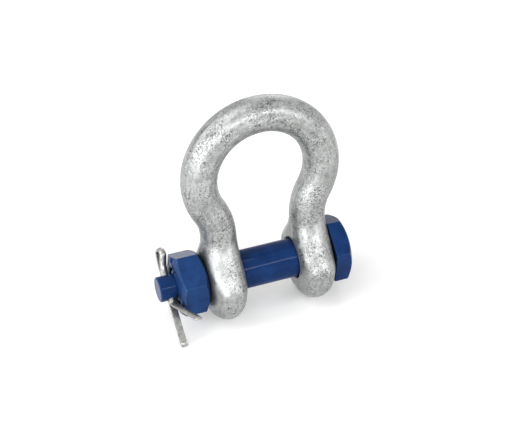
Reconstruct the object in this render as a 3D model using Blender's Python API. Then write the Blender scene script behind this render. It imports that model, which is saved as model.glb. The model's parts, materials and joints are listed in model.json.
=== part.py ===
"""A bow shackle with a hexagon bolt, a nut and a split pin, standing on its two ears.

Units are metres and +Z is up. The bolt lies along X, with the nut at -X and the head at +X,
and the bow stands over it in the XZ plane. Every piece is modelled about the bolt's axis and
is carried by an empty, which lifts the whole shackle onto the ground and brings the origin
below the middle of its box.

The shackle stands as a tripod: on the rims of its two ears and on the straight leg of the
split pin. The bow leans towards that leg by LEAN_DEG, so that its weight falls between
the three feet.
"""

import math

import bmesh
import bpy
import numpy as np

# Fits shared by the pieces
PIN_DIAMETER = 0.0156
JAW_WIDTH = 0.0228
SEAT_GAP = 0.0003
HOLE_CLEARANCE = 0.0006
LEAN_DEG = 3.0

# Bow: round stock bent to a full crown, forged into two thick round ears
STOCK_DIAMETER = 0.014
BOW_INSIDE_WIDTH = 0.0354
BOW_CENTRE_HEIGHT = 0.0425
NECK_RADIUS = 0.0225
EAR_THICKNESS = 0.0140
EAR_RADIUS = 0.0178
EAR_LAND_WIDTH = 0.0007
HOLE_CHAMFER = 0.0006
SHOULDER_POWER = 1.6

# Bolt: hexagon head, plain shank, reduced thread and a turned-down end for the split pin
HEAD_ACROSS_FLATS = 0.0240
HEAD_HEIGHT = 0.0070
HEAD_FACE_DIAMETER = 0.0225
HEAD_CHAMFER_DEG = 30.0
HEAD_FILLET = 0.0006
THREAD_DIAMETER = 0.014
THREAD_SHOULDER = 0.0012
THREAD_RUN_IN = 0.0015
STUB_DIAMETER = 0.010
STUB_CHAMFER = 0.0004
STUB_END_LENGTH = 0.0042

# Nut
NUT_ACROSS_FLATS = 0.0230
NUT_HEIGHT = 0.0117
NUT_FACE_DIAMETER = 0.0192
NUT_SEAT_CHAMFER_DEG = 34.0
NUT_END_CHAMFER_DEG = 18.0
NUT_COUNTERSINK = 0.0005
NUT_TURN_DEG = 10.0
THREAD_CLEARANCE = 0.0003

# Split pin: one half-round wire folded into an eye, its legs parted below the bolt
WIRE_RADIUS = 0.0015
WIRE_EDGE = 0.0002
LEG_GAP = 0.0002
CROSS_HOLE_CLEARANCE = 0.0003
EYE_INSIDE_RADIUS = 0.0014
EYE_NECK_RADIUS = 0.0228
EYE_STANDOFF = 0.0003
EYE_LEAN_DEG = 13.0
PIN_TWIST_DEG = 75.0
STRAIGHT_LEG_LENGTH = 0.0238
BENT_LEG_LENGTH = 0.0272
LEG_BEND_DEG = 56.0
LEG_BEND_RADIUS = 0.0030
LEG_BEND_START = 0.0006
LEG_TIP = 0.0004
TIP_SHARE = 0.7

# Number of faces round or along each form
STOCK_SIDES = 32
CROWN_STEPS = 22
NECK_STEPS = 6
SHOULDER_STEPS = 12
EAR_STEPS = 12
TURNED_SIDES = 72
FILLET_STEPS = 3
HOLE_SIDES = 64
CROSS_HOLE_SIDES = 32
WIRE_ARC_STEPS = 9
EYE_STEPS = 18
BEND_STEPS = 6
CLEARANCE_STEPS = 9

# Search for the ear's outline, and the angle from which an edge is shaded sharp
REACH_LIMIT = 2.0
HALVINGS = 40
SHARP_EDGE_DEG = 30.0

# Sizes that follow
STOCK_RADIUS = STOCK_DIAMETER / 2
HOLE_RADIUS = PIN_DIAMETER / 2 + HOLE_CLEARANCE
BOW_RADIUS = BOW_INSIDE_WIDTH / 2 + STOCK_RADIUS
LEG_X = JAW_WIDTH / 2 + EAR_THICKNESS / 2
EAR_FACE_X = JAW_WIDTH / 2 + EAR_THICKNESS
EAR_LAND_RADIUS = HOLE_RADIUS + HOLE_CHAMFER + EAR_LAND_WIDTH
HEAD_SEAT_X = EAR_FACE_X + SEAT_GAP
HEAD_END_X = HEAD_SEAT_X + HEAD_HEIGHT
NUT_SEAT_X = -(EAR_FACE_X + SEAT_GAP)
NUT_END_X = NUT_SEAT_X - NUT_HEIGHT
STUB_RADIUS = STUB_DIAMETER / 2


def smooth_step(value):
    """0 below 0, 1 above 1, and a smooth rise between them."""
    value = min(max(value, 0.0), 1.0)
    return value * value * (3.0 - 2.0 * value)


def omega_line(leg_x, ring_radius, ring_height, neck_radius, ring_steps, neck_steps):
    """The right half of an omega-shaped line, from its crown down to where its leg is upright.

    It is a ring's arc that turns past its widest point and runs into a reversed neck arc.
    Each point is (x, z, outward normal x, outward normal z).
    """
    sweep = math.acos((leg_x + neck_radius) / (ring_radius + neck_radius))
    points = []
    for angle in np.linspace(math.pi / 2, -sweep, ring_steps + 1):
        out_x, out_z = math.cos(angle), math.sin(angle)
        points.append((ring_radius * out_x, ring_height + ring_radius * out_z, out_x, out_z))
    neck_x = (ring_radius + neck_radius) * math.cos(sweep)
    neck_z = ring_height - (ring_radius + neck_radius) * math.sin(sweep)
    for angle in np.linspace(math.pi - sweep, math.pi, neck_steps + 1)[1:]:
        out_x, out_z = math.cos(angle), math.sin(angle)
        points.append((neck_x + neck_radius * out_x, neck_z + neck_radius * out_z, -out_x, -out_z))
    return points


def skin(name, rings, start=None, end=None, ring_of_rings=False):
    """A mesh stretched over rings of points. Each open end is closed by a point or by a face."""
    bm = bmesh.new()
    loops = [[bm.verts.new(point) for point in ring] for ring in rings]
    pairs = list(zip(loops, loops[1:]))
    if ring_of_rings:
        pairs.append((loops[-1], loops[0]))
    for near, far in pairs:
        for i in range(len(near)):
            j = (i + 1) % len(near)
            bm.faces.new((near[i], near[j], far[j], far[i]))
    if not ring_of_rings:
        for loop, tip in ((loops[0], start), (loops[-1], end)):
            if tip is None:
                bm.faces.new(loop)
                continue
            point = bm.verts.new(tip)
            for i in range(len(loop)):
                bm.faces.new((loop[i], loop[(i + 1) % len(loop)], point))
    bmesh.ops.recalc_face_normals(bm, faces=bm.faces)
    mesh = bpy.data.meshes.new(name)
    bm.to_mesh(mesh)
    bm.free()
    return mesh


def add_object(name, mesh, material, parent):
    """An object for a mesh, shaded smooth except over its sharp edges."""
    obj = bpy.data.objects.new(name, mesh)
    bpy.context.scene.collection.objects.link(obj)
    mesh.materials.append(material)
    mesh.shade_smooth()
    mesh.set_sharp_from_angle(angle=math.radians(SHARP_EDGE_DEG))
    obj.parent = parent
    return obj


def principled(name, color, roughness, metallic):
    """A plain Principled material."""
    material = bpy.data.materials.new(name)
    material.use_nodes = True
    shader = material.node_tree.nodes["Principled BSDF"]
    shader.inputs["Base Color"].default_value = (*color, 1.0)
    shader.inputs["Roughness"].default_value = roughness
    shader.inputs["Metallic"].default_value = metallic
    return material


def turned_ring(x, radius, sides):
    """A circle of points about the X axis."""
    angles = np.linspace(0.0, 2 * math.pi, sides, endpoint=False)
    return [(x, radius * math.cos(a), radius * math.sin(a)) for a in angles]


def cut(obj, cutter_mesh, cutter_name):
    """Cuts a hidden shape out of an object. The cutter keeps the object's own frame."""
    cutter = bpy.data.objects.new(cutter_name, cutter_mesh)
    bpy.context.scene.collection.objects.link(cutter)
    cutter.parent = obj
    cutter.hide_render = True
    cutter.display_type = "WIRE"
    modifier = obj.modifiers.new(cutter_name, "BOOLEAN")
    modifier.operation = "DIFFERENCE"
    modifier.solver = "EXACT"
    modifier.object = cutter


def ear_section(height, neck_height):
    """Half sizes of the leg at one height over the hole: its thickness, and its depth at each x.

    Below the hole the leg is a disc with a flat land and an elliptic rim. Above it, the disc's
    shoulders run smoothly into the round stock.
    """
    rim = EAR_RADIUS - EAR_LAND_RADIUS
    up = smooth_step(height / neck_height)
    full = EAR_THICKNESS / 2 + (STOCK_RADIUS - EAR_THICKNESS / 2) * up
    shoulder = 1.0 - max(height / neck_height, 0.0) ** SHOULDER_POWER
    outside_land = max(-height - EAR_LAND_RADIUS, 0.0) / rim
    thickness = full * math.sqrt(max(1.0 - outside_land**2, 0.0))

    def depth(x):
        roundness = np.sqrt(np.clip(1.0 - (x / full) ** 2, 0.0, None))
        disc = EAR_LAND_RADIUS + rim * roundness
        if height <= 0.0:
            return np.sqrt(np.clip(disc**2 - height**2, 0.0, None))
        stock = STOCK_RADIUS * roundness
        return stock + (disc - stock) * max(shoulder, 0.0) ** 2

    return thickness, depth


def ear_ring(height, neck_height, side):
    """The leg's outline at one height, found along rays from its middle."""
    thickness, depth = ear_section(height, neck_height)
    middle_depth = float(depth(np.array([0.0]))[0])
    angles = np.linspace(0.0, 2 * math.pi, STOCK_SIDES, endpoint=False)
    across, along = np.cos(angles), np.sin(angles)
    low, high = np.zeros(STOCK_SIDES), np.full(STOCK_SIDES, REACH_LIMIT)
    for _ in range(HALVINGS):
        middle = (low + high) / 2
        x, y = middle * thickness * np.abs(across), middle * middle_depth * np.abs(along)
        outside = (x > thickness) | (y > depth(x))
        high = np.where(outside, middle, high)
        low = np.where(outside, low, middle)
    reach = (low + high) / 2
    return [
        (side * (LEG_X + r * thickness * c), r * middle_depth * s, height)
        for r, c, s in zip(reach, across, along)
    ]


def stock_ring(point, side):
    """A circle of the round stock, square to the bow's line."""
    x, z, out_x, out_z = point
    angles = np.linspace(0.0, 2 * math.pi, STOCK_SIDES, endpoint=False)
    return [
        (
            side * (x + out_x * STOCK_RADIUS * math.cos(a)),
            STOCK_RADIUS * math.sin(a),
            z + out_z * STOCK_RADIUS * math.cos(a),
        )
        for a in angles
    ]


def bow_side(side):
    """The bow's rings from beside its crown down to the foot of one ear."""
    line = omega_line(LEG_X, BOW_RADIUS, BOW_CENTRE_HEIGHT, NECK_RADIUS, CROWN_STEPS, NECK_STEPS)
    rings = [stock_ring(point, side) for point in line]
    neck_height = line[-1][1]
    rise = np.linspace(neck_height, 0.0, SHOULDER_STEPS + 1)[1:]
    fall = -EAR_RADIUS * np.sin(np.linspace(0.0, math.pi / 2, EAR_STEPS + 1)[1:-1])
    rings += [ear_ring(height, neck_height, side) for height in (*rise, *fall)]
    return rings


def ear_hole_cutter():
    """One turned cutter for both ears' holes, flared where it meets each ear face."""
    flare = HOLE_RADIUS + HOLE_CHAMFER
    past = 2 * HOLE_CHAMFER
    half = [
        (0.0, flare + past),
        (JAW_WIDTH / 2 - past, flare + past),
        (JAW_WIDTH / 2 + HOLE_CHAMFER, HOLE_RADIUS),
        (EAR_FACE_X - HOLE_CHAMFER, HOLE_RADIUS),
        (EAR_FACE_X + past, flare + past),
    ]
    profile = [(-x, radius) for x, radius in reversed(half[1:])] + half
    return skin("ear_holes", [turned_ring(x, radius, HOLE_SIDES) for x, radius in profile])


def make_bow(parent, material):
    """The forged bow: both sides of the omega in one skin, with the two ears bored."""
    left, right = bow_side(-1), bow_side(1)
    rings = left[:0:-1] + right
    feet = [(side * LEG_X, 0.0, -EAR_RADIUS) for side in (-1, 1)]
    mesh = skin("bow", rings, start=feet[0], end=feet[1])
    bow = add_object("bow", mesh, material, parent)
    bow.rotation_euler = (math.radians(LEAN_DEG), 0.0, 0.0)
    cut(bow, ear_hole_cutter(), "ear_hole_cutter")
    return bow


def hexagon_radii(across_flats, sides):
    """Distance from the axis to a hexagon's side, for each of a ring's points."""
    angles = np.linspace(0.0, 2 * math.pi, sides, endpoint=False)
    from_flat = (angles + math.pi / 6) % (math.pi / 3) - math.pi / 6
    return across_flats / 2 / np.cos(from_flat)


def hexagon_ring(x, across_flats, sides):
    """A hexagon of points about the X axis, with a flat's middle at +Y."""
    angles = np.linspace(0.0, 2 * math.pi, sides, endpoint=False)
    radii = hexagon_radii(across_flats, sides)
    return [(x, r * math.cos(a), r * math.sin(a)) for r, a in zip(radii, angles)]


def chamfer_ring(x, inward, across_flats, face_diameter, chamfer_deg, sides):
    """The curve in which a turned chamfer meets a hexagon's flats. inward is +1 or -1 along X."""
    angles = np.linspace(0.0, 2 * math.pi, sides, endpoint=False)
    radii = hexagon_radii(across_flats, sides)
    slope = inward * math.tan(math.radians(chamfer_deg))
    return [
        (x + slope * (r - face_diameter / 2), r * math.cos(a), r * math.sin(a))
        for r, a in zip(radii, angles)
    ]


def bolt_turn(rings):
    """The turn about X at which the split pin's straight leg just reaches the ground.

    It is counted from where the leg points straight down, and swings the leg towards -Y.
    """
    points = np.concatenate(rings)
    radius = np.hypot(points[:, 1], points[:, 2])
    far = radius > EAR_RADIUS
    hanging = np.arctan2(-points[far, 1], -points[far, 2])
    return float(np.min(hanging - np.arccos(EAR_RADIUS / radius[far])))


def make_bolt(parent, material, pin_x, turn):
    """The bolt, turned about X, with its cross hole along its own Z axis."""
    stub_end_x = pin_x - STUB_END_LENGTH
    sides = TURNED_SIDES
    shank = PIN_DIAMETER / 2
    shoulder_x = -(EAR_FACE_X - THREAD_RUN_IN)
    rings = [
        turned_ring(HEAD_END_X, HEAD_FACE_DIAMETER / 2, sides),
        chamfer_ring(
            HEAD_END_X, -1, HEAD_ACROSS_FLATS, HEAD_FACE_DIAMETER, HEAD_CHAMFER_DEG, sides
        ),
        hexagon_ring(HEAD_SEAT_X, HEAD_ACROSS_FLATS, sides),
    ]
    for angle in np.linspace(0.0, math.pi / 2, FILLET_STEPS + 1):
        fillet_x = HEAD_SEAT_X - HEAD_FILLET * math.sin(angle)
        rings.append(turned_ring(fillet_x, shank + HEAD_FILLET * (1 - math.sin(angle)), sides))
    profile = [
        (shoulder_x + THREAD_SHOULDER, shank),
        (shoulder_x, THREAD_DIAMETER / 2),
        (NUT_END_X + THREAD_SHOULDER, THREAD_DIAMETER / 2),
        (NUT_END_X, STUB_RADIUS),
        (stub_end_x + STUB_CHAMFER, STUB_RADIUS),
        (stub_end_x, STUB_RADIUS - STUB_CHAMFER),
    ]
    rings += [turned_ring(x, radius, sides) for x, radius in profile]
    bolt = add_object("bolt", skin("bolt", rings), material, parent)
    bolt.rotation_euler = (turn, 0.0, 0.0)
    cut(bolt, cross_hole_cutter(pin_x), "cross_hole_cutter")
    return bolt


def cross_hole_cutter(pin_x):
    """A round bar through the bolt's end, along Z."""
    radius = WIRE_RADIUS + CROSS_HOLE_CLEARANCE
    angles = np.linspace(0.0, 2 * math.pi, CROSS_HOLE_SIDES, endpoint=False)
    rings = [
        [(pin_x + radius * math.cos(a), radius * math.sin(a), z) for a in angles]
        for z in (-STUB_DIAMETER, STUB_DIAMETER)
    ]
    return skin("cross_hole", rings)


def make_nut(parent, material):
    """A hexagon nut chamfered at both ends, countersunk and bored for the thread."""
    sides = TURNED_SIDES
    bore = THREAD_DIAMETER / 2 + THREAD_CLEARANCE
    rings = []
    for x, inward, chamfer_deg in (
        (NUT_SEAT_X, -1, NUT_SEAT_CHAMFER_DEG),
        (NUT_END_X, 1, NUT_END_CHAMFER_DEG),
    ):
        end = [
            turned_ring(x + inward * NUT_COUNTERSINK, bore, sides),
            turned_ring(x, bore + NUT_COUNTERSINK, sides),
            turned_ring(x, NUT_FACE_DIAMETER / 2, sides),
            chamfer_ring(x, inward, NUT_ACROSS_FLATS, NUT_FACE_DIAMETER, chamfer_deg, sides),
        ]
        rings += end if inward < 0 else end[::-1]
    nut = add_object("nut", skin("nut", rings, ring_of_rings=True), material, parent)
    nut.rotation_euler = (math.radians(NUT_TURN_DEG), 0.0, 0.0)
    return nut


def leaned(point, foot_height, eye_height):
    """A point of the eye's line, turned about the eye's foot by a lean that grows up to the eye."""
    across, up, out_x, out_z = point
    rise = up - foot_height
    lean = math.radians(EYE_LEAN_DEG) * smooth_step(rise / (eye_height - foot_height))
    s, c = math.sin(lean), math.cos(lean)
    return (
        across * c + rise * s,
        foot_height + rise * c - across * s,
        out_x * c + out_z * s,
        out_z * c - out_x * s,
    )


def wire_line():
    """The split pin's line in its own plane, as (across, up, outward across, outward up).

    It follows the wire's flat side from the tip of the straight leg, up through the hole, round
    the eye, down again and along the bent leg.
    """
    half_gap = LEG_GAP / 2
    neck_end = STUB_RADIUS + EYE_STANDOFF
    sweep = math.acos((half_gap + EYE_NECK_RADIUS) / (EYE_INSIDE_RADIUS + EYE_NECK_RADIUS))
    eye_height = neck_end + (EYE_INSIDE_RADIUS + EYE_NECK_RADIUS) * math.sin(sweep)
    half_eye = omega_line(
        half_gap, EYE_INSIDE_RADIUS, eye_height, EYE_NECK_RADIUS, EYE_STEPS, BEND_STEPS
    )
    bend_start = -(STUB_RADIUS + LEG_BEND_START)
    line = [(-half_gap, z, -1.0, 0.0) for z in (-STRAIGHT_LEG_LENGTH, bend_start)]
    eye = [(-x, z, -out_x, out_z) for x, z, out_x, out_z in half_eye[:0:-1]] + half_eye
    line += [leaned(point, neck_end, eye_height) for point in eye]
    bend = math.radians(LEG_BEND_DEG)
    for angle in np.linspace(0.0, bend, BEND_STEPS + 1):
        out_x, out_z = math.cos(angle), math.sin(angle)
        x = half_gap + LEG_BEND_RADIUS * (1 - out_x)
        line.append((x, bend_start - LEG_BEND_RADIUS * out_z, out_x, out_z))
    x, z, out_x, out_z = line[-1]
    rest = BENT_LEG_LENGTH - STUB_RADIUS - LEG_BEND_START - LEG_BEND_RADIUS * bend
    line.append((x + rest * out_z, z - rest * out_x, out_x, out_z))
    return line


def wire_section():
    """Half-round section of the wire, as (outward, sideways) from the middle of its flat."""
    arc = np.linspace(-math.pi / 2, math.pi / 2, WIRE_ARC_STEPS + 1)
    round_side = [
        (WIRE_EDGE + (WIRE_RADIUS - WIRE_EDGE) * math.cos(a), WIRE_RADIUS * math.sin(a))
        for a in arc
    ]
    flat_edge = WIRE_RADIUS - WIRE_EDGE
    return [(0.0, -flat_edge), *round_side, (0.0, flat_edge)]


def split_pin_rings():
    """The wire's section, swept along its line in a plane twisted about the cross hole."""
    twist = math.radians(PIN_TWIST_DEG)
    across_axis = np.array([math.cos(twist), -math.sin(twist), 0.0])
    side_axis = np.array([math.sin(twist), math.cos(twist), 0.0])
    up_axis = np.array([0.0, 0.0, 1.0])
    line = wire_line()

    def ring(across, up, out_x, out_z, size=1.0):
        middle = across * across_axis + up * up_axis
        outward = out_x * across_axis + out_z * up_axis
        centre = (1.0 - size) * WIRE_RADIUS / 2
        return np.array(
            [
                middle + (centre + size * out) * outward + size * aside * side_axis
                for out, aside in wire_section()
            ]
        )

    def tip(at, before):
        """A slightly smaller ring that closes a leg's cut end, and the ring just behind it."""
        run = np.array(at[:2]) - np.array(before[:2])
        back = np.array(at[:2]) - run / np.hypot(*run) * LEG_TIP
        return ring(*at, size=TIP_SHARE), ring(*back, *at[2:])

    first, behind_first = tip(line[0], line[1])
    last, behind_last = tip(line[-1], line[-2])
    return [first, behind_first, *[ring(*point) for point in line[1:-1]], behind_last, last]


def split_pin_x(rings):
    """Where along X the split pin stands, so that its bent leg just clears the nut's end."""
    face_radius = NUT_FACE_DIAMETER / 2
    corner_radius = NUT_ACROSS_FLATS / 2 / math.cos(math.pi / 6)
    slope = math.tan(math.radians(NUT_END_CHAMFER_DEG))
    room = []
    for near, far in zip(rings, rings[1:]):
        for share in np.linspace(0.0, 1.0, CLEARANCE_STEPS):
            points = near + share * (far - near)
            radius = np.hypot(points[:, 1], points[:, 2])
            surface = NUT_END_X + slope * np.clip(radius - face_radius, 0.0, None)
            beside = radius < corner_radius
            room += list(surface[beside] - points[beside, 0])
    return min(room) - SEAT_GAP


def make_split_pin(bolt, material, rings, pin_x):
    """The folded wire, standing in the bolt's cross hole."""
    points = [[tuple(point) for point in ring] for ring in rings]
    pin = add_object("split_pin", skin("split_pin", points), material, bolt)
    pin.location = (pin_x, 0.0, 0.0)
    return pin


def clear_scene():
    for obj in list(bpy.data.objects):
        bpy.data.objects.remove(obj, do_unlink=True)


def box_of(objects):
    """Lowest and highest corner of the finished shapes."""
    bpy.context.view_layer.update()
    graph = bpy.context.evaluated_depsgraph_get()
    corners = []
    for obj in objects:
        shape = obj.evaluated_get(graph)
        corners += [shape.matrix_world @ vertex.co for vertex in shape.data.vertices]
    corners = np.array([tuple(corner) for corner in corners])
    return corners.min(axis=0), corners.max(axis=0)


def main():
    clear_scene()
    stand = bpy.data.objects.new("stand", None)
    bpy.context.scene.collection.objects.link(stand)
    zinc = principled("galvanised", (0.62, 0.63, 0.62), 0.38, 0.85)
    bolt_paint = principled("bolt_paint", (0.028, 0.060, 0.190), 0.35, 0.0)
    nut_paint = principled("nut_paint", (0.030, 0.068, 0.215), 0.35, 0.0)
    plated = principled("plated_wire", (0.60, 0.59, 0.55), 0.35, 0.9)
    bow = make_bow(stand, zinc)
    wire = split_pin_rings()
    pin_x = split_pin_x(wire)
    bolt = make_bolt(stand, bolt_paint, pin_x, bolt_turn(wire))
    nut = make_nut(stand, nut_paint)
    pin = make_split_pin(bolt, plated, wire, pin_x)
    low, high = box_of((bow, bolt, nut, pin))
    stand.location = (-(low[0] + high[0]) / 2, -(low[1] + high[1]) / 2, -low[2])


main()
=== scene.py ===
"""The looks of a bow shackle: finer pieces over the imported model, finishes, floor, light, camera.

Units are metres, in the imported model's own frame: +Z is up, and the bolt lies along X with its
nut towards -X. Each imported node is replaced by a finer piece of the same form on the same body.
The forms are worked out about the bolt's axis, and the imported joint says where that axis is.
"""

import json
import math

import bmesh
import bpy
import numpy as np
from mathutils import Matrix, Vector, noise

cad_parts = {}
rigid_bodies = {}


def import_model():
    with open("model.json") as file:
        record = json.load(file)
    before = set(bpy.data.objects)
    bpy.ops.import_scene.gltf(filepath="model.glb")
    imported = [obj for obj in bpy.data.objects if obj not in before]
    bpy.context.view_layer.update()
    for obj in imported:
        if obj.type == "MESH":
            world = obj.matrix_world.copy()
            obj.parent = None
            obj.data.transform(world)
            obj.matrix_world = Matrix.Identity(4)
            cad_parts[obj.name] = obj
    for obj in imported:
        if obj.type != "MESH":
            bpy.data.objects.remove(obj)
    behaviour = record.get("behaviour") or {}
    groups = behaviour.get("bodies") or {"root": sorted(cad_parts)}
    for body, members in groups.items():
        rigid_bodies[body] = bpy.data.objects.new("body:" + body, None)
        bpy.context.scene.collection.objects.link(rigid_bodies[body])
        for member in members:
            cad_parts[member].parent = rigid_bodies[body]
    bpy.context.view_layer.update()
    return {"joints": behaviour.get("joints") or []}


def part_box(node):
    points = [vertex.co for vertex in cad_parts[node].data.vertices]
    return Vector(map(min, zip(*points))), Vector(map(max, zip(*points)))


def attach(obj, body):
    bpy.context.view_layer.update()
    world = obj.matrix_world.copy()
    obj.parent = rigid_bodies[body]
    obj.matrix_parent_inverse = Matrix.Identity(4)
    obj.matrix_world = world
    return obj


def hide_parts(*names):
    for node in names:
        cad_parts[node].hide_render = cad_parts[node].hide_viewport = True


MM = 0.001

# Bow
LEAN_DEG = 3.0
STOCK_RADIUS = 0.007
BOW_INSIDE_WIDTH = 0.0354
BOW_CENTRE_HEIGHT = 0.0425
NECK_RADIUS = 0.0225
JAW_WIDTH = 0.0228
EAR_THICKNESS = 0.0140
EAR_RADIUS = 0.0178
EAR_LAND_RADIUS = 0.0097
LEG_X = (JAW_WIDTH + EAR_THICKNESS) / 2
EAR_FACE_X = JAW_WIDTH / 2 + EAR_THICKNESS
SHOULDER_POWER = 1.6
HOLE_RADIUS = 0.0084
HOLE_EDGE_RADIUS = 0.0006
FORGED_BUMPS = ((0.000055, 0.0075), (0.000022, 0.0028))  # height and spacing of the surface's waves
RUN_STRETCH = 7.0  # how much longer than wide the zinc's run marks are

# Bolt
SHANK_RADIUS = 0.0078
HEAD_ACROSS_FLATS = 0.0240
HEAD_HEIGHT = 0.0070
HEAD_FACE_RADIUS = 0.01125
HEAD_CHAMFER_DEG = 30.0
HEAD_FILLET = 0.0006
THREAD_RADIUS = 0.0070
THREAD_DEPTH = 0.0011
THREAD_PITCH = 0.0020
THREAD_SHOULDER = 0.0012
THREAD_RUN_IN = 0.0015
STUB_RADIUS = 0.005
STUB_EDGE_RADIUS = 0.0005

# Nut
NUT_ACROSS_FLATS = 0.0230
NUT_FACE_RADIUS = 0.0096
NUT_SEAT_CHAMFER_DEG = 34.0
NUT_END_CHAMFER_DEG = 18.0
NUT_COUNTERSINK = 0.0005
NUT_TURN_DEG = 10.0
NUT_BORE_RADIUS = 0.0073

# Painted edges of the hexagons
CORNER_SHARPNESS = 110.0
CHAMFER_SHARPNESS = 150.0
PAINTED_EDGE_RADIUS = 0.0004

# Split pin
WIRE_RADIUS = 0.0015
WIRE_EDGE = 0.0002
LEG_GAP = 0.0002
CROSS_HOLE_RADIUS = 0.0018
CROSS_HOLE_EDGE = 0.0003
EYE_INSIDE_RADIUS = 0.0014
EYE_NECK_RADIUS = 0.0228
EYE_STANDOFF = 0.0003
EYE_LEAN_DEG = 13.0
PIN_TWIST_DEG = 75.0
STRAIGHT_LEG_LENGTH = 0.0238
BENT_LEG_LENGTH = 0.0272
LEG_BEND_DEG = 56.0
LEG_BEND_RADIUS = 0.0030
LEG_BEND_START = 0.0006
LEG_TIP = 0.0004
TIP_SHARE = 0.7  # size of a leg's cut end, as a share of the wire's
DRAWN_STRETCH = 12.0  # how much longer than wide the drawn wire's streaks are

# Fineness
STOCK_SIDES = 112
CROWN_STEPS = 72
NECK_STEPS = 18
SHOULDER_STEPS = 48
EAR_STEPS = 44
REACH_LIMIT = 2.0  # how far out the leg's outline is looked for, in half sizes
HALVINGS = 40  # how often that search halves its range
HOLE_SIDES = 160
EDGE_STEPS = 5
FLAT_END_SHARES = (0.1, 0.5, 0.9)  # radii of the rings over a flat end, as shares of its own
HEX_SIDE_STEPS = 26
FLANK_STEPS = 26
THREAD_STEPS = 14
WIRE_ARC_STEPS = 22
EYE_STEPS = 40
BEND_STEPS = 20
LEG_STEPS = 12
SHARP_EDGE_DEG = 40.0
LEAST_COSINE = 1e-6

# Galvanised zinc: linear colours, and the distances between its noises' waves
ZINC_DARK = (0.105, 0.108, 0.105)
ZINC_PALE = (0.49, 0.50, 0.495)
ZINC_SPECK = (0.09, 0.095, 0.09)
ZINC_TONE = 0.56  # how far the middle tone lies from dark to pale
ZINC_METALLIC = 0.85
ZINC_CLOUD = 9 * MM
ZINC_PATCH = 7 * MM
ZINC_LUMP = 3.5 * MM
ZINC_MOTTLE = 2.4 * MM
ZINC_RUN = 1.6 * MM
ZINC_GRAIN = 0.95 * MM
ZINC_FINE_GRAIN = 0.45 * MM
ZINC_LUMP_HEIGHT = 0.25 * MM
ZINC_GRAIN_HEIGHT = 0.16 * MM

# Blue paint: main, deep and edge colours with the index of refraction, for bolt and nut. The edge
# colour is a highlight painted over outward edges, and also tints pale flecks at random
BOLT_PAINT = ((0.006, 0.031, 0.124), (0.004, 0.022, 0.088), (0.035, 0.085, 0.20), 1.18)
NUT_PAINT = ((0.013, 0.043, 0.143), (0.010, 0.032, 0.108), (0.06, 0.14, 0.28), 1.14)
# Painted shade: the dark colour laid into the paint's corners and gaps, where little light reaches
PAINT_CORNER_SHADE = (0.004, 0.008, 0.016)
PAINT_CLOUD = 6 * MM
PAINT_HAZE = 1.8 * MM
PAINT_FLECK = 0.6 * MM
PAINT_EDGE = 0.7 * MM
PAINT_CORNER = 5 * MM
PAINT_HEIGHT = 0.12 * MM

# Zinc-plated wire
WIRE_DARK = (0.29, 0.292, 0.277)
WIRE_PALE = (0.41, 0.41, 0.392)
WIRE_STREAK_COLOR = (0.16, 0.16, 0.148)
WIRE_SPECK_COLOR = (0.12, 0.12, 0.112)
# Painted shade laid into the wire's corners and gaps
WIRE_CORNER_SHADE = (0.02, 0.02, 0.02)
WIRE_METALLIC = 0.9
WIRE_MOTTLE = 1.2 * MM
WIRE_GRAIN = 0.5 * MM
WIRE_STREAK = 0.45 * MM
WIRE_CORNER = 1.5 * MM
WIRE_HEIGHT = 0.06 * MM

# Shares of open space, and of the piece's own inside, at which corners and edges begin and end
CORNER_STARTS = 0.55
PAINT_CORNER_STARTS = 0.7
CORNER_ENDS = 0.1
EDGE_STARTS = 0.94
EDGE_ENDS = 0.62
EDGE_SAMPLES = 16

# Camera, as fitted to the outlines of all four pieces in the photograph
CAMERA_AZIMUTH_DEG = 18.52
CAMERA_ELEVATION_DEG = 29.48
CAMERA_ROLL_DEG = -3.84
CAMERA_DISTANCE = 0.563
CAMERA_AIM = (-0.002356, -0.000389, 0.023014)  # from the bolt's axis
LENS_MM = 102.46
SENSOR_MM = 36.0

# Floor, surroundings and lamps
FLOOR_SIZE = 4.0
FLOOR_COLOR = (0.925, 0.92, 0.91)
FLOOR_ROUGHNESS = 0.9
FLOOR_SPECULAR = 0.1
FLOOR_GLOW = 0.17
FAR_FLOOR_GLOW = 0.8
GLOW_NEAR = 0.12  # distances from the middle between which the floor's glow grows
GLOW_FAR = 0.45
WHITE = (1.0, 1.0, 1.0)
COOL_WHITE = (0.97, 0.985, 1.0)
WORLD_STRENGTH = 0.48
LIGHT_TARGET = (0.0, 0.0, 0.045)
LAMP_DISTANCE = 0.9
# Name, azimuth and elevation in degrees, width, height, watts and colour
LAMPS = (
    ("left_low", 44.0, 9.0, 0.32, 0.34, 2.9, COOL_WHITE),
    ("side_low", 76.0, 10.0, 0.34, 0.34, 1.1, COOL_WHITE),
    ("side_high", 90.0, 30.0, 0.40, 0.40, 2.1, COOL_WHITE),
    ("front", 34.0, 32.0, 0.30, 0.30, 0.8, WHITE),
    ("right_low", -45.0, 10.0, 0.34, 0.36, 1.1, WHITE),
    ("strip", -12.0, 28.0, 0.80, 0.09, 2.8, WHITE),
    ("overhead", 70.0, 66.0, 0.5, 0.5, 2.0, WHITE),
    ("back", -150.0, 28.0, 0.36, 0.36, 1.0, WHITE),
)


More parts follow.
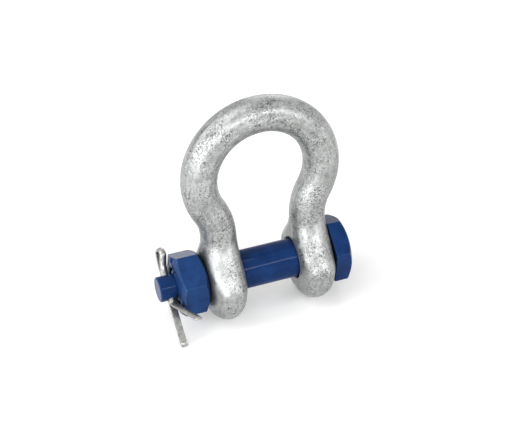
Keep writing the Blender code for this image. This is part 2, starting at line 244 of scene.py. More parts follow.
def omega_line(leg_x, ring_radius, ring_height, neck_radius, ring_steps, neck_steps):
    """The right half of an omega-shaped line, from its crown down to where its leg is upright.

    It is a ring's arc that turns past its widest point and runs into a reversed neck arc.
    Each point is (x, z, outward normal x, outward normal z).
    """
    sweep = math.acos((leg_x + neck_radius) / (ring_radius + neck_radius))
    points = []
    for angle in np.linspace(math.pi / 2, -sweep, ring_steps + 1):
        out_x, out_z = math.cos(angle), math.sin(angle)
        points.append((ring_radius * out_x, ring_height + ring_radius * out_z, out_x, out_z))
    neck_x = (ring_radius + neck_radius) * math.cos(sweep)
    neck_z = ring_height - (ring_radius + neck_radius) * math.sin(sweep)
    for angle in np.linspace(math.pi - sweep, math.pi, neck_steps + 1)[1:]:
        out_x, out_z = math.cos(angle), math.sin(angle)
        points.append((neck_x + neck_radius * out_x, neck_z + neck_radius * out_z, -out_x, -out_z))
    return points


def skin(name, rings, material, start=None, end=None, joined=False):
    """An object stretched over rings of points. An open end is closed by a point or by a face."""
    rings = np.array(rings, float)
    count, sides = rings.shape[:2]
    points = [tuple(point) for point in rings.reshape(-1, 3)]
    faces = []
    for near in range(count if joined else count - 1):
        far = (near + 1) % count
        for i in range(sides):
            j = (i + 1) % sides
            faces.append((near * sides + i, near * sides + j, far * sides + j, far * sides + i))
    if not joined:
        for first, tip in ((0, start), ((count - 1) * sides, end)):
            ring = range(first, first + sides)
            if tip is None:
                faces.append(tuple(ring))
                continue
            points.append(tuple(tip))
            faces += [(ring[i], ring[(i + 1) % sides], len(points) - 1) for i in range(sides)]
    mesh = bpy.data.meshes.new(name)
    mesh.from_pydata(points, [], faces)
    bm = bmesh.new()
    bm.from_mesh(mesh)
    bmesh.ops.recalc_face_normals(bm, faces=bm.faces)
    bm.to_mesh(mesh)
    bm.free()
    obj = bpy.data.objects.new(name, mesh)
    bpy.context.scene.collection.objects.link(obj)
    if material:
        mesh.materials.append(material)
    return obj


def soften(obj):
    """Smooth shading with sharp edges kept."""
    obj.data.shade_smooth()
    obj.data.set_sharp_from_angle(angle=math.radians(SHARP_EDGE_DEG))


def cut(obj, cutter):
    """Cuts a shape out of an object for good, and removes the shape."""
    modifier = obj.modifiers.new("cut", "BOOLEAN")
    modifier.operation = "DIFFERENCE"
    modifier.solver = "EXACT"
    modifier.object = cutter
    graph = bpy.context.evaluated_depsgraph_get()
    mesh = bpy.data.meshes.new_from_object(obj.evaluated_get(graph), depsgraph=graph)
    obj.modifiers.remove(modifier)
    whole, obj.data = obj.data, mesh
    bpy.data.meshes.remove(whole)
    bpy.data.objects.remove(cutter)


def place(obj, centre, turn):
    """Moves a form from the bolt's axis to its place, turned about X. Its place is in its mesh."""
    obj.data.transform(Matrix.Translation(centre) @ Matrix.Rotation(turn, 4, "X"))


def smooth_step(value):
    """0 below 0, 1 above 1, and a smooth rise between them."""
    value = min(max(value, 0.0), 1.0)
    return value * value * (3.0 - 2.0 * value)


def ear_section(height, neck_height):
    """Half sizes of the leg at one height over the hole: its thickness, and its depth at each x."""
    rim = EAR_RADIUS - EAR_LAND_RADIUS
    up = smooth_step(height / neck_height)
    full = EAR_THICKNESS / 2 + (STOCK_RADIUS - EAR_THICKNESS / 2) * up
    shoulder = 1.0 - max(height / neck_height, 0.0) ** SHOULDER_POWER
    outside_land = max(-height - EAR_LAND_RADIUS, 0.0) / rim
    thickness = full * math.sqrt(max(1.0 - outside_land**2, 0.0))

    def depth(x):
        roundness = np.sqrt(np.clip(1.0 - (x / full) ** 2, 0.0, None))
        disc = EAR_LAND_RADIUS + rim * roundness
        if height <= 0.0:
            return np.sqrt(np.clip(disc**2 - height**2, 0.0, None))
        stock = STOCK_RADIUS * roundness
        return stock + (disc - stock) * max(shoulder, 0.0) ** 2

    return thickness, depth


def ear_ring(height, neck_height, side):
    """The leg's outline at one height, found along rays from its middle."""
    thickness, depth = ear_section(height, neck_height)
    middle_depth = float(depth(np.array([0.0]))[0])
    angles = np.linspace(0.0, 2 * math.pi, STOCK_SIDES, endpoint=False)
    across, along = np.cos(angles), np.sin(angles)
    low, high = np.zeros(STOCK_SIDES), np.full(STOCK_SIDES, REACH_LIMIT)
    for _ in range(HALVINGS):
        middle = (low + high) / 2
        x, y = middle * thickness * np.abs(across), middle * middle_depth * np.abs(along)
        outside = (x > thickness) | (y > depth(x))
        high = np.where(outside, middle, high)
        low = np.where(outside, low, middle)
    reach = (low + high) / 2
    return [
        (side * (LEG_X + r * thickness * c), r * middle_depth * s, height)
        for r, c, s in zip(reach, across, along)
    ]


def stock_ring(point, side):
    """A circle of the round stock, square to the bow's line."""
    x, z, out_x, out_z = point
    angles = np.linspace(0.0, 2 * math.pi, STOCK_SIDES, endpoint=False)
    return [
        (
            side * (x + out_x * STOCK_RADIUS * math.cos(a)),
            STOCK_RADIUS * math.sin(a),
            z + out_z * STOCK_RADIUS * math.cos(a),
        )
        for a in angles
    ]


def bow_side(side):
    """The bow's rings from beside its crown down to the foot of one ear."""
    ring_radius = BOW_INSIDE_WIDTH / 2 + STOCK_RADIUS
    line = omega_line(LEG_X, ring_radius, BOW_CENTRE_HEIGHT, NECK_RADIUS, CROWN_STEPS, NECK_STEPS)
    rings = [stock_ring(point, side) for point in line]
    neck_height = line[-1][1]
    rise = np.linspace(neck_height, 0.0, SHOULDER_STEPS + 1)[1:]
    fall = -EAR_RADIUS * np.sin(np.linspace(0.0, math.pi / 2, EAR_STEPS + 1)[1:-1])
    rings += [ear_ring(height, neck_height, side) for height in (*rise, *fall)]
    return rings


def turned_ring(x, radius, sides):
    """A circle of points about the X axis."""
    angles = np.linspace(0.0, 2 * math.pi, sides, endpoint=False)
    return [(x, radius * math.cos(a), radius * math.sin(a)) for a in angles]


def ear_hole_cutter():
    """One turned cutter for both ears' holes, which leaves each hole's edges rounded."""
    half = [(0.0, HOLE_RADIUS + HOLE_EDGE_RADIUS)]
    for face_x, inward in ((JAW_WIDTH / 2, 1), (EAR_FACE_X, -1)):
        edge = []
        for angle in np.linspace(0.0, math.pi / 2, EDGE_STEPS + 1):
            x = face_x + inward * HOLE_EDGE_RADIUS * (1 - math.cos(angle))
            edge.append((x, HOLE_RADIUS + HOLE_EDGE_RADIUS * (1 - math.sin(angle))))
        edge[0] = (edge[0][0] - inward * HOLE_EDGE_RADIUS, edge[0][1] + HOLE_EDGE_RADIUS)
        half += edge if inward > 0 else edge[::-1]
    profile = [(-x, radius) for x, radius in reversed(half[1:])] + half
    rings = [turned_ring(x, radius, HOLE_SIDES) for x, radius in profile]
    return skin("ear_hole_cutter", rings, None)


def roughen(mesh):
    """Moves the surface in and out by the small waves that forging and dipping leave."""
    points = np.array([tuple(vertex.co) for vertex in mesh.vertices])
    normals = np.array([tuple(vertex.normal) for vertex in mesh.vertices])
    heights = np.array(
        [
            sum(rise * noise.noise(Vector(point) / spacing) for rise, spacing in FORGED_BUMPS)
            for point in points
        ]
    )
    mesh.vertices.foreach_set("co", (points + heights[:, None] * normals).ravel())


def make_bow(centre, material):
    """The forged bow: both sides of the omega in one skin, with the two ears bored."""
    left, right = bow_side(-1), bow_side(1)
    feet = [(side * LEG_X, 0.0, -EAR_RADIUS) for side in (-1, 1)]
    rings = left[:0:-1] + right
    bow = skin("bow_forging", rings, material, start=feet[0], end=feet[1])
    store_course(bow.data, rings)
    roughen(bow.data)
    cut(bow, ear_hole_cutter())
    soften(bow)
    place(bow, centre, math.radians(LEAN_DEG))
    return bow


def soft_least(values, sharpness):
    """The least of several positive values, with a soft change from one to the next."""
    values = np.array(values)
    least = values.min(axis=0)
    return least * np.sum((values / least) ** -sharpness, axis=0) ** (-1.0 / sharpness)


def hexagon_angles():
    """Angles round a hexagon, closer together towards its corners."""
    share = np.linspace(-1.0, 1.0, HEX_SIDE_STEPS, endpoint=False)
    side = math.pi / 6 * np.sin(share * math.pi / 2)
    return np.concatenate([side + k * math.pi / 3 for k in range(6)])


def hexagon_radii(across_flats, angles):
    """Distance from the axis to a hexagon's sides, with softened corners."""
    from_flat = (angles + math.pi / 6) % (math.pi / 3) - math.pi / 6
    flats = [
        across_flats / 2 / np.clip(np.cos(from_flat + turn), LEAST_COSINE, None)
        for turn in (-math.pi / 3, 0.0, math.pi / 3)
    ]
    return soft_least(flats, CORNER_SHARPNESS)


def ring_at(x, radii, angles):
    """A ring about the X axis, from one radius or one for each angle."""
    radii = np.broadcast_to(radii, angles.shape)
    return np.stack([np.full(len(angles), x), radii * np.cos(angles), radii * np.sin(angles)], 1)


def chamfered_end(x, inward, across_flats, face_radius, chamfer_deg, angles):
    """Rings from a hexagon's end face, over its turned chamfer, to its full section."""
    chamfer = math.radians(chamfer_deg)
    face_edge = face_radius - PAINTED_EDGE_RADIUS * math.tan(chamfer / 2)
    full = hexagon_radii(across_flats, angles)
    rings = []
    for turn in np.linspace(0.0, chamfer, EDGE_STEPS):
        depth = PAINTED_EDGE_RADIUS * (1 - math.cos(turn))
        radius = face_edge + PAINTED_EDGE_RADIUS * math.sin(turn)
        rings.append(ring_at(x + inward * depth, radius, angles))
    run = math.tan(chamfer) * (float(full.max()) - radius) + PAINTED_EDGE_RADIUS
    for share in np.linspace(0.0, 1.0, FLANK_STEPS + 1)[1:]:
        cone = np.full(len(angles), radius + share * run / math.tan(chamfer))
        radii = soft_least([full, cone], CHAMFER_SHARPNESS)
        rings.append(ring_at(x + inward * (depth + share * run), radii, angles))
    return rings


def flat_end(x, radius, angles):
    """Rings over a flat round end, so that its rim's finish stays near the rim."""
    return [ring_at(x, share * radius, angles) for share in FLAT_END_SHARES]


def rounded_rim(x, inward, radii, edge_radius, angles):
    """Rings over a rounded edge, from a flank of the given radii onto the flat face at x."""
    rings = []
    for turn in np.linspace(0.0, math.pi / 2, EDGE_STEPS):
        depth = edge_radius * (1 - math.sin(turn))
        radius = radii - edge_radius * (1 - math.cos(turn))
        rings.append(ring_at(x + inward * depth, radius, angles))
    return rings


def thread_rings(start_x, end_x, angles):
    """Rings of a right-hand thread about X, from start_x down to end_x, fading in and out."""
    steps = round((start_x - end_x) / THREAD_PITCH * THREAD_STEPS)
    rings = []
    for x in np.linspace(start_x, end_x, steps + 1):
        fade = smooth_step((start_x - x) / THREAD_PITCH) * smooth_step((x - end_x) / THREAD_PITCH)
        turn = 2 * math.pi * x / THREAD_PITCH - angles
        groove = 0.5 - 0.5 * np.cos(turn)
        rings.append(ring_at(x, THREAD_RADIUS - THREAD_DEPTH * fade * groove, angles))
    return rings


def cross_hole_cutter(pin_x):
    """A bar through the bolt's end along Z, flared where it leaves the round surface."""
    flare = CROSS_HOLE_RADIUS + CROSS_HOLE_EDGE
    deep = STUB_RADIUS - 2 * CROSS_HOLE_EDGE
    half = [(deep, CROSS_HOLE_RADIUS), (STUB_RADIUS, flare), (2 * STUB_RADIUS, flare + STUB_RADIUS)]
    profile = [(-z, radius) for z, radius in reversed(half)] + half
    angles = np.linspace(0.0, 2 * math.pi, HOLE_SIDES // 2, endpoint=False)
    rings = [
        [(pin_x + radius * math.cos(a), radius * math.sin(a), z) for a in angles]
        for z, radius in profile
    ]
    return skin("cross_hole_cutter", rings, None)


def make_bolt(centre, turn, pin_x, stub_end_x, material):
    """The bolt about its own axis: head, shank, thread and the stub with its cross hole."""
    angles = hexagon_angles()
    head_end_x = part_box("bolt")[1].x - centre.x
    head_seat_x = head_end_x - HEAD_HEIGHT
    nut_end_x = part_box("nut")[0].x - centre.x
    rings = flat_end(head_end_x, HEAD_FACE_RADIUS, angles)
    rings += chamfered_end(
        head_end_x, -1, HEAD_ACROSS_FLATS, HEAD_FACE_RADIUS, HEAD_CHAMFER_DEG, angles
    )
    full = hexagon_radii(HEAD_ACROSS_FLATS, angles)
    rings += rounded_rim(head_seat_x, 1, full, PAINTED_EDGE_RADIUS, angles)
    for bend in np.linspace(0.0, math.pi / 2, EDGE_STEPS + 1):
        x = head_seat_x - HEAD_FILLET * math.sin(bend)
        rings.append(ring_at(x, SHANK_RADIUS + HEAD_FILLET * (1 - math.sin(bend)), angles))
    shoulder_x = -(EAR_FACE_X - THREAD_RUN_IN)
    rings.append(ring_at(shoulder_x + THREAD_SHOULDER, SHANK_RADIUS, angles))
    rings += thread_rings(shoulder_x, nut_end_x + THREAD_SHOULDER, angles)
    rings.append(ring_at(nut_end_x, STUB_RADIUS, angles))
    rings += rounded_rim(stub_end_x, 1, STUB_RADIUS, STUB_EDGE_RADIUS, angles)
    rings += flat_end(stub_end_x, STUB_RADIUS - STUB_EDGE_RADIUS, angles)[::-1]
    bolt = skin("bolt_and_head", rings, material)
    cut(bolt, cross_hole_cutter(pin_x))
    soften(bolt)
    place(bolt, centre, turn)
    return bolt


def make_nut(centre, material):
    """The nut: chamfered and countersunk at both ends, with a plain bore behind the thread."""
    angles = hexagon_angles()
    low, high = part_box("nut")
    rings = []
    for x, inward, chamfer_deg in (
        (high.x - centre.x, -1, NUT_SEAT_CHAMFER_DEG),
        (low.x - centre.x, 1, NUT_END_CHAMFER_DEG),
    ):
        end = [
            ring_at(x + inward * NUT_COUNTERSINK, NUT_BORE_RADIUS, angles),
            ring_at(x, NUT_BORE_RADIUS + NUT_COUNTERSINK, angles),
            ring_at(x, (NUT_BORE_RADIUS + NUT_COUNTERSINK + NUT_FACE_RADIUS) / 2, angles),
        ]
        end += chamfered_end(x, inward, NUT_ACROSS_FLATS, NUT_FACE_RADIUS, chamfer_deg, angles)
        rings += end if inward < 0 else end[::-1]
    nut = skin("nut_hexagon", rings, material, joined=True)
    soften(nut)
    place(nut, centre, math.radians(NUT_TURN_DEG))
    return nut


def leaned(point, foot_height, eye_height):
    """A point of the eye's line, turned about the eye's foot by a lean that grows up to the eye."""
    across, up, out_x, out_z = point
    rise = up - foot_height
    lean = math.radians(EYE_LEAN_DEG) * smooth_step(rise / (eye_height - foot_height))
    s, c = math.sin(lean), math.cos(lean)
    return (
        across * c + rise * s,
        foot_height + rise * c - across * s,
        out_x * c + out_z * s,
        out_z * c - out_x * s,
    )


def wire_line():
    """The split pin's line in its own plane, as (across, up, outward across, outward up).

    It follows the wire's flat side from the tip of the straight leg, up through the hole, round
    the eye, down again and along the bent leg.
    """
    half_gap = LEG_GAP / 2
    neck_end = STUB_RADIUS + EYE_STANDOFF
    sweep = math.acos((half_gap + EYE_NECK_RADIUS) / (EYE_INSIDE_RADIUS + EYE_NECK_RADIUS))
    eye_height = neck_end + (EYE_INSIDE_RADIUS + EYE_NECK_RADIUS) * math.sin(sweep)
    half_eye = omega_line(
        half_gap, EYE_INSIDE_RADIUS, eye_height, EYE_NECK_RADIUS, EYE_STEPS, BEND_STEPS
    )
    bend_start = -(STUB_RADIUS + LEG_BEND_START)
    heights = np.linspace(-STRAIGHT_LEG_LENGTH, bend_start, LEG_STEPS)
    line = [(-half_gap, z, -1.0, 0.0) for z in heights]
    eye = [(-x, z, -out_x, out_z) for x, z, out_x, out_z in half_eye[:0:-1]] + half_eye
    line += [leaned(point, neck_end, eye_height) for point in eye]
    bend = math.radians(LEG_BEND_DEG)
    for angle in np.linspace(0.0, bend, BEND_STEPS + 1):
        out_x, out_z = math.cos(angle), math.sin(angle)
        x = half_gap + LEG_BEND_RADIUS * (1 - out_x)
        line.append((x, bend_start - LEG_BEND_RADIUS * out_z, out_x, out_z))
    x, z, out_x, out_z = line[-1]
    rest = BENT_LEG_LENGTH - STUB_RADIUS - LEG_BEND_START - LEG_BEND_RADIUS * bend
    for run in np.linspace(0.0, rest, LEG_STEPS)[1:]:
        line.append((x + run * out_z, z - run * out_x, out_x, out_z))
    return line


def wire_section():
    """Half-round section of the wire, as (outward, sideways) from the middle of its flat."""
    arc = np.linspace(-math.pi / 2, math.pi / 2, WIRE_ARC_STEPS + 1)
    round_side = [
        (WIRE_EDGE + (WIRE_RADIUS - WIRE_EDGE) * math.cos(a), WIRE_RADIUS * math.sin(a))
        for a in arc
    ]
    flat_edge = WIRE_RADIUS - WIRE_EDGE
    return [(0.0, -flat_edge), *round_side, (0.0, flat_edge)]


def split_pin_rings():
    """The wire's section, swept along its line in a plane twisted about the cross hole."""
    twist = math.radians(PIN_TWIST_DEG)
    across_axis = np.array([math.cos(twist), -math.sin(twist), 0.0])
    side_axis = np.array([math.sin(twist), math.cos(twist), 0.0])
    up_axis = np.array([0.0, 0.0, 1.0])
    line = wire_line()

    def ring(across, up, out_x, out_z, size=1.0):
        middle = across * across_axis + up * up_axis
        outward = out_x * across_axis + out_z * up_axis
        centre = (1.0 - size) * WIRE_RADIUS / 2
        return np.array(
            [
                middle + (centre + size * out) * outward + size * aside * side_axis
                for out, aside in wire_section()
            ]
        )

    def tip(at, before):
        """A slightly smaller ring that closes a leg's cut end, and the ring just behind it."""
        run = np.array(at[:2]) - np.array(before[:2])
        back = np.array(at[:2]) - run / np.hypot(*run) * LEG_TIP
        return ring(*at, size=TIP_SHARE), ring(*back, *at[2:])

    first, behind_first = tip(line[0], line[1])
    last, behind_last = tip(line[-1], line[-2])
    return [first, behind_first, *[ring(*point) for point in line[1:-1]], behind_last, last]


def bolt_turn(rings):
    """The turn about X at which the split pin's straight leg just reaches the ground."""
    points = np.concatenate(rings)
    radius = np.hypot(points[:, 1], points[:, 2])
    far = radius > EAR_RADIUS
    hanging = np.arctan2(-points[far, 1], -points[far, 2])
    return float(np.min(hanging - np.arccos(EAR_RADIUS / radius[far])))


def store_course(mesh, rings):
    """Keeps each point's distance along a bent bar, and its place around it, for the finishes."""
    rings = np.array(rings, float)
    count, sides = rings.shape[:2]
    middles = rings.mean(axis=1)
    steps = np.linalg.norm(np.diff(middles, axis=0), axis=1)
    along = np.repeat(np.concatenate([[0.0], np.cumsum(steps)]), sides)
    turns = np.tile(np.linspace(0.0, 2 * math.pi, sides, endpoint=False), count)
    reach = np.linalg.norm(rings - middles[:, None], axis=2).mean()
    around = reach * np.stack([np.cos(turns), np.sin(turns), np.zeros(count * sides)], axis=1)
    spare = len(mesh.vertices) - count * sides
    along = np.concatenate([along, [0.0, along[-1]][:spare]])
    around = np.concatenate([around, np.zeros((spare, 3))])
    attribute = mesh.attributes.new("along", "FLOAT", "POINT")
    attribute.data.foreach_set("value", along.astype(np.float32))
    attribute = mesh.attributes.new("around", "FLOAT_VECTOR", "POINT")
    attribute.data.foreach_set("vector", around.astype(np.float32).ravel())


def make_split_pin(centre, turn, pin_x, rings, material):
    """The folded wire, standing in the bolt's cross hole."""
    pin = skin("split_pin_wire", rings, material)
    store_course(pin.data, rings)
    soften(pin)
    offset = Vector((pin_x, 0.0, 0.0))
    place(pin, centre + offset, turn)
    return pin


class Nodes:
    """The node tree of a material or world, with short calls to add and join nodes."""

    def __init__(self, owner, shader="Principled BSDF"):
        owner.use_nodes = True
        self.owner = owner
        self.tree = owner.node_tree
        self.shader = self.tree.nodes[shader]

    def add(self, kind, inputs=(), **settings):
        node = self.tree.nodes.new(kind)
        for key, value in settings.items():
            setattr(node, key, value)
        for key, value in dict(inputs).items():
            self.feed(node, key, value)
        return node

    def feed(self, node, key, value):
        """Joins another node's output to an input, or sets the input's value."""
        if isinstance(value, bpy.types.NodeSocket):
            self.tree.links.new(value, node.inputs[key])
        else:
            node.inputs[key].default_value = value

    def noise(self, where, spacing, detail=2.0, roughness=0.5, distortion=0.0):
        """Noise with its waves this many metres apart."""
        inputs = {
            "Vector": where,
            "Scale": 1 / spacing,
            "Detail": detail,
            "Roughness": roughness,
            "Distortion": distortion,
        }
        return self.add("ShaderNodeTexNoise", inputs).outputs["Fac"]

    def ramp(self, value, low, high, start=0.0, end=1.0):
        """A value carried from one range into another, and kept inside the second."""
        inputs = {0: value, 1: low, 2: high, 3: start, 4: end}
        return self.add("ShaderNodeMapRange", inputs, interpolation_type="SMOOTHSTEP").outputs[0]

    def math(self, operation, first, second):
        inputs = {0: first, 1: second}
        return self.add("ShaderNodeMath", inputs, operation=operation).outputs[0]

    def sway(self, *parts):
        """The sum of several noises about their middle, each with its own strength."""
        total = None
        for value, strength in parts:
            part = self.math("MULTIPLY", self.math("SUBTRACT", value, 0.5), strength)
            total = self.math("ADD", total, part) if total else part
        return total

    def blend(self, share, first, second):
        """A colour between two, or a darker or lighter one where the share says so."""
        node = self.add("ShaderNodeMix", data_type="RGBA")
        self.feed(node, 0, share)
        for key, color in ((6, first), (7, second)):
            whole = color if isinstance(color, bpy.types.NodeSocket) else (*color, 1.0)
            self.feed(node, key, whole)
        return node.outputs[2]

    def crevice(self, reach, starts=CORNER_STARTS):
        """1 deep in a corner or gap of this width, and 0 where more than a share is open."""
        open_share = self.add("ShaderNodeAmbientOcclusion", {"Distance": reach}).outputs["AO"]
        return self.ramp(open_share, starts, CORNER_ENDS)

    def edge_highlight_mask(self, reach):
        """1 at an outward edge, where the inside is near on every side, and 0 on open faces: where
        a highlight is painted along edges.
        """
        kind, inputs = "ShaderNodeAmbientOcclusion", {"Distance": reach}
        inside_share = self.add(kind, inputs, inside=True, samples=EDGE_SAMPLES).outputs["AO"]
        return self.ramp(inside_share, EDGE_STARTS, EDGE_ENDS)

    def bump(self, height, distance, strength=1.0, normal=None):
        inputs = {"Height": height, "Distance": distance, "Strength": strength}
        if normal:
            inputs["Normal"] = normal
        return self.add("ShaderNodeBump", inputs).outputs["Normal"]

    def place(self):
        """The piece's own coordinates, in metres."""
        return self.add("ShaderNodeTexCoord").outputs["Object"]

    def along_and_around(self, stretch):
        """Coordinates along and around a bent bar, in metres, drawn out along it."""
        along = self.add("ShaderNodeAttribute", attribute_name="along").outputs["Fac"]
        around = self.add("ShaderNodeAttribute", attribute_name="around").outputs["Vector"]
        run = self.math("DIVIDE", along, stretch)
        stretched = self.add("ShaderNodeCombineXYZ", {"Z": run}).outputs["Vector"]
        both = self.add("ShaderNodeVectorMath", {0: stretched, 1: around}, operation="ADD")
        return both.outputs["Vector"]

    def add_white(self, white, output):
        """Adds plain white light to the surface, for camera, glossy and transmission rays only."""
        rays = self.add("ShaderNodeLightPath").outputs
        seen = self.math("MAXIMUM", rays["Is Camera Ray"], rays["Is Glossy Ray"])
        seen = self.math("MAXIMUM", seen, rays["Is Transmission Ray"])
        glow = self.add("ShaderNodeEmission", {"Strength": self.math("MULTIPLY", seen, white)})
        both = self.add("ShaderNodeAddShader", {0: self.shader.outputs[0], 1: glow.outputs[0]})
        self.feed(self.tree.nodes[output], "Surface", both.outputs[0])


def galvanised():
    """Hot-dip zinc: half-bright grey, clouded and pitted, with dark specks and run marks."""
    n = Nodes(bpy.data.materials.new("galvanised_zinc"))
    where = n.place()
    course = n.along_and_around(RUN_STRETCH)
    cloud = n.noise(where, ZINC_CLOUD, detail=3.0, roughness=0.55, distortion=0.4)
    mottle = n.noise(where, ZINC_MOTTLE, detail=4.0, roughness=0.65, distortion=0.7)
    grain = n.noise(where, ZINC_GRAIN, roughness=0.6)
    fine = n.noise(where, ZINC_FINE_GRAIN, detail=1.0)
    runs = n.noise(course, ZINC_RUN, detail=3.0, roughness=0.6, distortion=0.3)
    patches = n.ramp(n.noise(where, ZINC_PATCH, detail=3.0, roughness=0.6), 0.42, 0.58, 0.3, 1.5)
    speckle = n.math("MULTIPLY", n.sway((grain, 1.4), (fine, 1.5)), patches)
    tone = n.math("ADD", n.sway((cloud, 0.8), (mottle, 1.0), (runs, 0.8)), speckle)
    tone = n.math("ADD", tone, ZINC_TONE)
    tone = n.add("ShaderNodeClamp", {"Value": tone}).outputs[0]
    specks = n.math("MULTIPLY", n.ramp(grain, 0.62, 0.70), n.ramp(patches, 0.6, 1.3))
    base = n.blend(tone, ZINC_DARK, ZINC_PALE)
    base = n.blend(n.math("MULTIPLY", specks, 0.7), base, ZINC_SPECK)
    rough = n.math("ADD", n.ramp(mottle, 0.3, 0.7, 0.34, 0.48), n.math("MULTIPLY", specks, 0.2))
    height = n.sway((grain, 0.45), (mottle, 0.55))
    lumps = n.bump(n.noise(where, ZINC_LUMP), ZINC_LUMP_HEIGHT, 0.5)
    n.feed(n.shader, "Base Color", base)
    n.feed(n.shader, "Metallic", ZINC_METALLIC)
    n.feed(n.shader, "Roughness", rough)
    n.feed(n.shader, "Normal", n.bump(height, ZINC_GRAIN_HEIGHT, 0.6, lumps))
    return n.owner


def blue_paint(name, color, deep, edge_color, index):
    """A thin coat of glossy blue paint: uneven, paler over its edges as a painted highlight, and
    darkened in its corners and gaps as painted shade.
    """
    n = Nodes(bpy.data.materials.new(name))
    where = n.place()
    cloud = n.noise(where, PAINT_CLOUD, detail=3.0, roughness=0.55)
    haze = n.noise(where, PAINT_HAZE, detail=3.0, roughness=0.6)
    fleck = n.ramp(n.noise(where, PAINT_FLECK, roughness=0.6), 0.64, 0.72)
    # Painted highlight: outward edges are made paler, as if catching the light
    edge = n.math("MULTIPLY", n.edge_highlight_mask(PAINT_EDGE), n.ramp(haze, 0.36, 0.56, 0.4, 1.0))
    corner = n.crevice(PAINT_CORNER, PAINT_CORNER_STARTS)
    base = n.blend(n.ramp(cloud, 0.35, 0.65), deep, color)
    base = n.blend(edge, base, edge_color)
    base = n.blend(n.math("MULTIPLY", fleck, 0.3), base, edge_color)
    # Painted shade: corners and gaps darken the paint's colour here, and the same mask makes them
    # rougher
    base = n.blend(corner, base, PAINT_CORNER_SHADE)
    gloss = n.ramp(haze, 0.48, 0.62, 0.05, 0.16)
    n.feed(n.shader, "Base Color", base)
    n.feed(n.shader, "Roughness", n.math("ADD", gloss, n.math("MULTIPLY", corner, 0.6)))
    n.feed(n.shader, "IOR", index)
    n.feed(n.shader, "Normal", n.bump(cloud, PAINT_HEIGHT, 0.9))
    return n.owner


def plated_wire():
    """Zinc-plated drawn wire: grey, with bright and dark streaks along it, and painted shade in its
    corners.
    """
    n = Nodes(bpy.data.materials.new("plated_wire_zinc"))
    where = n.place()
    course = n.along_and_around(DRAWN_STRETCH)
    streaks = n.noise(course, WIRE_STREAK, detail=3.0, roughness=0.6)
    mottle = n.noise(where, WIRE_MOTTLE, detail=3.0, roughness=0.6)
    grain = n.noise(where, WIRE_GRAIN, roughness=0.6)
    base = n.blend(n.ramp(mottle, 0.38, 0.62), WIRE_DARK, WIRE_PALE)
    base = n.blend(n.ramp(streaks, 0.46, 0.66, 0.0, 0.4), base, WIRE_STREAK_COLOR)
    base = n.blend(n.ramp(grain, 0.56, 0.68, 0.0, 0.25), base, WIRE_SPECK_COLOR)
    # Painted shade: the wire's corners and gaps are darkened in its colour
    base = n.blend(n.crevice(WIRE_CORNER), base, WIRE_CORNER_SHADE)
    n.feed(n.shader, "Base Color", base)
    n.feed(n.shader, "Metallic", WIRE_METALLIC)
    n.feed(n.shader, "Roughness", n.ramp(streaks, 0.3, 0.7, 0.24, 0.4))
    n.feed(n.shader, "Normal", n.bump(streaks, WIRE_HEIGHT, 0.5))
    return n.owner


def make_floor():
    """A pale floor that reads white where no shadow falls, near by and far out."""
    bpy.ops.mesh.primitive_plane_add(size=FLOOR_SIZE)
    floor = bpy.context.active_object
    floor.name = "floor"
    n = Nodes(bpy.data.materials.new("floor_white"))
    n.feed(n.shader, "Base Color", (*FLOOR_COLOR, 1.0))
    n.feed(n.shader, "Roughness", FLOOR_ROUGHNESS)
    n.feed(n.shader, "Specular IOR Level", FLOOR_SPECULAR)
    away = n.add("ShaderNodeVectorMath", {0: n.place()}, operation="LENGTH").outputs["Value"]
    inputs = {
        "Value": away,
        "From Min": GLOW_NEAR,
        "From Max": GLOW_FAR,
        "To Min": FLOOR_GLOW,
        "To Max": FAR_FLOOR_GLOW,
    }
    n.add_white(n.add("ShaderNodeMapRange", inputs).outputs["Result"], "Material Output")
    floor.data.materials.append(n.owner)


def make_world():
    """An even white surrounding, dimmer as a light than where it is seen."""
    world = bpy.data.worlds.new("studio")
    bpy.context.scene.world = world
    n = Nodes(world, "Background")
    n.feed(n.shader, "Color", (*WHITE, 1.0))
    n.feed(n.shader, "Strength", WORLD_STRENGTH)
    n.add_white(1.0 - WORLD_STRENGTH, "World Output")


def direction(azimuth_deg, elevation_deg):
    """A unit vector. Azimuth 0 is -Y, and it grows towards -X as the camera's does."""
    azimuth, elevation = math.radians(azimuth_deg), math.radians(elevation_deg)
    level = math.cos(elevation)
    return Vector((-math.sin(azimuth) * level, -math.cos(azimuth) * level, math.sin(elevation)))


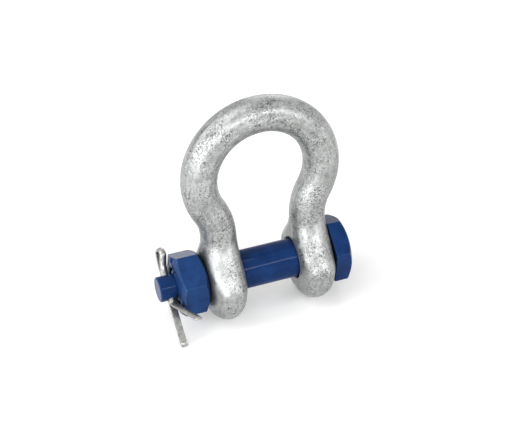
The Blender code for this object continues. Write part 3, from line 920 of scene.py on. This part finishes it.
def softbox(name, azimuth, elevation, width, height, watts, color):
    """A rectangular lamp that faces the shackle from a direction."""
    data = bpy.data.lights.new(name, "AREA")
    data.shape = "RECTANGLE"
    data.size = width
    data.size_y = height
    data.energy = watts
    data.color = color
    lamp = bpy.data.objects.new(name, data)
    bpy.context.scene.collection.objects.link(lamp)
    towards = direction(azimuth, elevation)
    lamp.location = Vector(LIGHT_TARGET) + towards * LAMP_DISTANCE
    lamp.rotation_euler = towards.to_track_quat("Z", "Y").to_euler()


def make_camera(centre):
    """The camera, fitted to the photograph's outlines."""
    data = bpy.data.cameras.new("camera")
    data.sensor_fit = "HORIZONTAL"
    data.sensor_width = SENSOR_MM
    data.lens = LENS_MM
    camera = bpy.data.objects.new("camera", data)
    bpy.context.scene.collection.objects.link(camera)
    back = direction(CAMERA_AZIMUTH_DEG, CAMERA_ELEVATION_DEG)
    level = back.to_track_quat("Z", "Y").to_matrix().to_4x4()
    roll = Matrix.Rotation(math.radians(CAMERA_ROLL_DEG), 4, "Z")
    spot = centre + Vector(CAMERA_AIM) + back * CAMERA_DISTANCE
    camera.matrix_world = Matrix.Translation(spot) @ level @ roll
    bpy.context.scene.camera = camera


def dress(obj, node, body):
    """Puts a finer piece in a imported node's place."""
    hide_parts(node)
    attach(obj, body)


def main():
    for obj in list(bpy.data.objects):
        bpy.data.objects.remove(obj)
    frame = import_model()
    centre = Vector(next(j for j in frame["joints"] if j["name"] == "bolt_turn")["pos_m"])
    wire = split_pin_rings()
    turn = bolt_turn(wire)
    pin_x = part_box("split_pin")[0].x - min(ring[:, 0].min() for ring in wire) - centre.x
    stub_end_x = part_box("bolt")[0].x - centre.x
    dress(make_bow(centre, galvanised()), "bow", "bow")
    bolt_blue = blue_paint("bolt_blue", *BOLT_PAINT)
    nut_blue = blue_paint("nut_blue", *NUT_PAINT)
    dress(make_bolt(centre, turn, pin_x, stub_end_x, bolt_blue), "bolt", "bolt")
    dress(make_nut(centre, nut_blue), "nut", "nut")
    pin = make_split_pin(centre, turn, pin_x, wire, plated_wire())
    dress(pin, "split_pin", "bolt")
    make_floor()
    make_world()
    for lamp in LAMPS:
        softbox(*lamp)
    make_camera(centre)
    bpy.context.scene.view_settings.view_transform = "Standard"


main()
